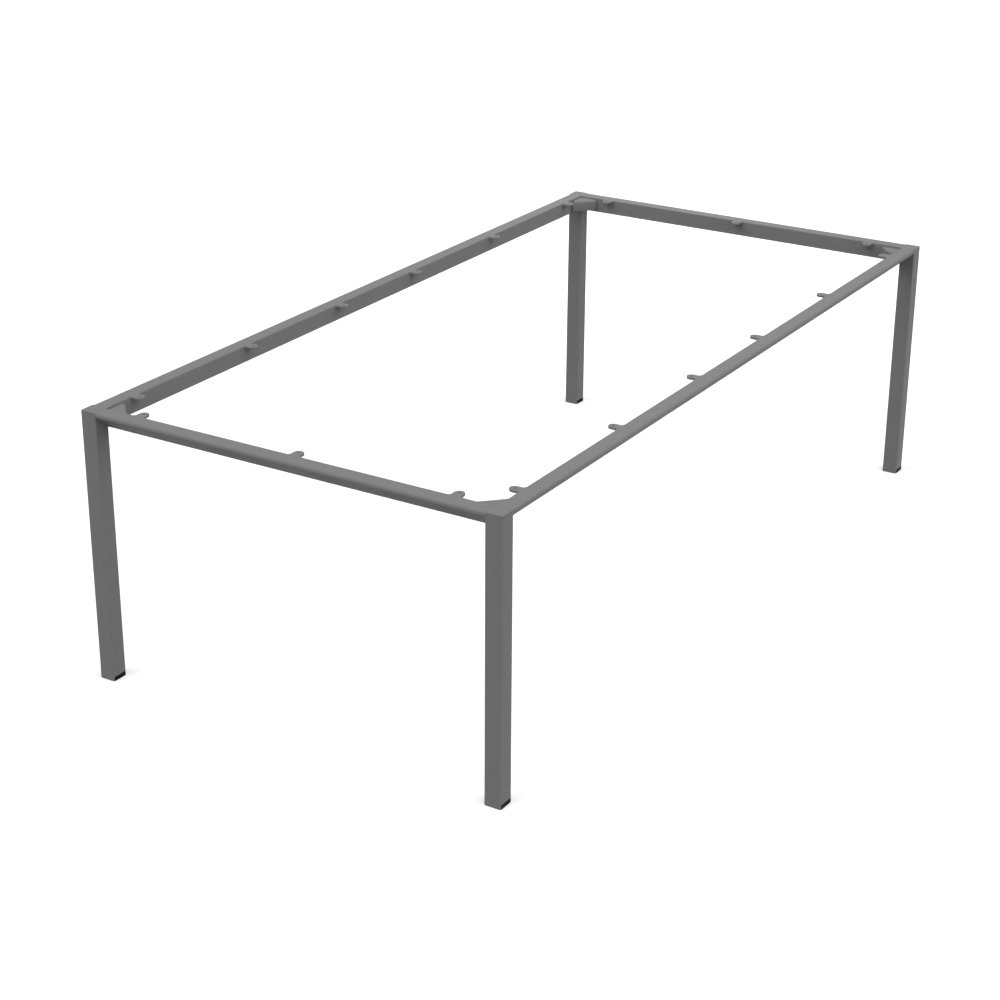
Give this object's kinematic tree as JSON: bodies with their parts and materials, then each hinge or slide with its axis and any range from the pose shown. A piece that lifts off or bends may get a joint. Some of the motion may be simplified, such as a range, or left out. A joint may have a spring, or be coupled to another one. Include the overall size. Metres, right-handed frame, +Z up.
{
  "type": "table frame",
  "caption": "Rectangular welded steel table frame with slim bevelled rails, square legs, corner brackets and screw tabs for a table top.",
  "frame": {"origin": "on the floor under the middle of the frame", "axes": "+X along the long side, +Y along the short side, +Z up"},
  "size_m": [2.388, 1.188, 0.723],
  "materials": {
    "powder_coat": "satin grey powder coat",
    "foot_plastic": "matt black moulded plastic"
  },
  "bodies": {
    "root": {"rail_front": "powder_coat", "rail_back": "powder_coat", "rail_left": "powder_coat", "rail_right": "powder_coat", "leg_front_left": "powder_coat", "leg_front_right": "powder_coat", "leg_back_right": "powder_coat", "leg_back_left": "powder_coat", "leg_cap_front_left": "powder_coat", "leg_cap_front_right": "powder_coat", "leg_cap_back_right": "powder_coat", "leg_cap_back_left": "powder_coat", "corner_bracket_front_left": "powder_coat", "corner_bracket_front_right": "powder_coat", "corner_bracket_back_right": "powder_coat", "corner_bracket_back_left": "powder_coat", "tab_front_1": "powder_coat", "tab_front_2": "powder_coat", "tab_front_3": "powder_coat", "tab_front_4": "powder_coat", "tab_front_5": "powder_coat", "tab_front_6": "powder_coat", "tab_back_1": "powder_coat", "tab_back_2": "powder_coat", "tab_back_3": "powder_coat", "tab_back_4": "powder_coat", "tab_back_5": "powder_coat", "tab_back_6": "powder_coat", "tab_left_1": "powder_coat", "tab_left_2": "powder_coat", "tab_left_3": "powder_coat", "tab_right_1": "powder_coat", "tab_right_2": "powder_coat", "tab_right_3": "powder_coat", "foot_front_left": "foot_plastic", "foot_front_right": "foot_plastic", "foot_back_right": "foot_plastic", "foot_back_left": "foot_plastic"}
  },
  "joints": []
}
